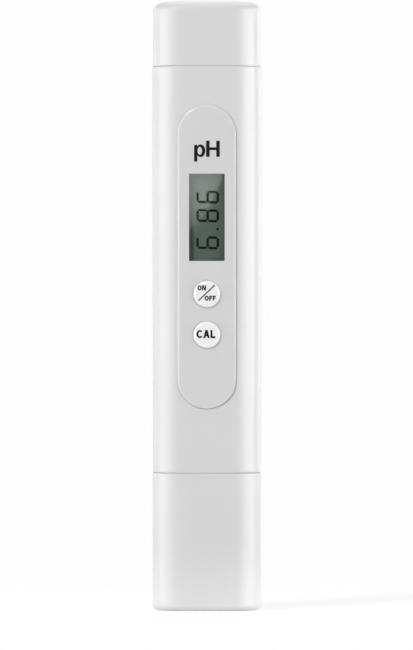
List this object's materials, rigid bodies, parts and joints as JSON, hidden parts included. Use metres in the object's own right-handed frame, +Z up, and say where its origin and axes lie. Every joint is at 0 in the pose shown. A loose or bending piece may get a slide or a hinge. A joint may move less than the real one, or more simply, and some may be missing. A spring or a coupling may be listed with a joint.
{
  "type": "ph meter",
  "caption": "Pocket pen-type pH meter: rounded rectangular body with a pill-shaped face panel, upright LCD, push buttons, pull-off battery cap and a protective cap over a glass electrode.",
  "frame": {"origin": "centre of the flat foot of the protective cap, on which the pen stands", "axes": "+Z up the pen to the battery cap, the display and buttons face -Y, +X to the right of someone who faces the display"},
  "size_m": [0.03, 0.0204, 0.168],
  "materials": {
    "shell_white": "satin moulded ABS, light neutral grey-white",
    "panel_white": "satin moulded face panel",
    "button_white": "smooth glossy white",
    "clear_window": "clear flat acrylic",
    "black_rubber": "moulded nitrile",
    "cell_steel": "nickel-plated steel can",
    "contact_nickel": "nickel-plated spring strip",
    "sponge": "open-cell storage sponge",
    "inner_white": "moulded ABS, as made",
    "electrode_black": "dark blue-black epoxy body",
    "bulb_glass": "thin pH-sensitive glass",
    "silver": "drawn silver wire",
    "potting": "cast epoxy plug",
    "ceramic": "porous ceramic rod",
    "probe_steel": "stainless tube",
    "thermistor_black": "epoxy bead",
    "pcb_green": "green solder mask on glass-epoxy",
    "screw_steel": "zinc-plated steel",
    "lcd_glass": "display glass",
    "polariser": "film polariser",
    "lcd_grey": "grey-green reflective backing",
    "zebra": "conductive elastomer",
    "switch_black": "glass-filled nylon",
    "chip_black": "moulded chip package",
    "crystal_can": "drawn can",
    "chip_resistor": "glazed alumina chips",
    "chip_capacitor": "tan ceramic chips",
    "lead_white": "insulated lead",
    "lead_blue": "insulated lead",
    "lead_red": "insulated leads"
  },
  "bodies": {
    "pen": {"main_housing": "shell_white", "face_panel": "panel_white", "display_window": "clear_window", "battery_cap_seal": "black_rubber", "battery_holder": "inner_white", "left_cell": "cell_steel", "right_cell": "cell_steel", "negative_contact": "contact_nickel", "positive_contact": "contact_nickel", "series_link": "contact_nickel", "probe_collar": "inner_white", "collar_seal": "black_rubber", "electrode_body": "electrode_black", "electrode_o_ring": "black_rubber", "glass_electrode": "bulb_glass", "silver_wire": "silver", "reference_wire": "silver", "junction_plug": "potting", "ceramic_junction": "ceramic", "electrode_top_plug": "potting", "temperature_probe": "probe_steel", "thermistor_bead": "thermistor_black", "pcb_carrier": "inner_white", "main_board": "pcb_green", "pcb_screws": "screw_steel", "lcd_holder": "inner_white", "lcd_front_glass": "lcd_glass", "lcd_rear_glass": "lcd_glass", "lcd_front_polariser": "polariser", "lcd_reflector": "lcd_grey", "lcd_contact_strip": "zebra", "power_switch": "switch_black", "cal_switch": "switch_black", "controller_chip": "chip_black", "amplifier_chip": "chip_black", "crystal": "crystal_can", "chip_resistors": "chip_resistor", "chip_capacitors": "chip_capacitor", "signal_lead": "lead_white", "reference_lead": "lead_blue", "thermistor_leads": "lead_red"},
    "protective_cap": {"protective_cap": "shell_white", "cap_sponge": "sponge"},
    "battery_cap": {"battery_cap": "shell_white"},
    "power_button": {"power_button": "button_white", "power_plunger": "switch_black"},
    "cal_button": {"cal_button": "button_white", "cal_plunger": "switch_black"}
  },
  "joints": [
    {"name": "protective_cap_pull", "type": "slide", "parent": "pen", "child": "protective_cap", "axis": [0, 0, -1], "range_m": [0, 0.045]},
    {"name": "battery_cap_pull", "type": "slide", "parent": "pen", "child": "battery_cap", "axis": [0, 0, 1], "range_m": [0, 0.025]},
    {"name": "power_button_press", "type": "slide", "parent": "pen", "child": "power_button", "axis": [0, 1, 0], "range_m": [0, 0.0005], "stiffness_N_per_m": 1500, "springref_m": -0.0003},
    {"name": "cal_button_press", "type": "slide", "parent": "pen", "child": "cal_button", "axis": [0, 1, 0], "range_m": [0, 0.0005], "stiffness_N_per_m": 1500, "springref_m": -0.0003}
  ]
}
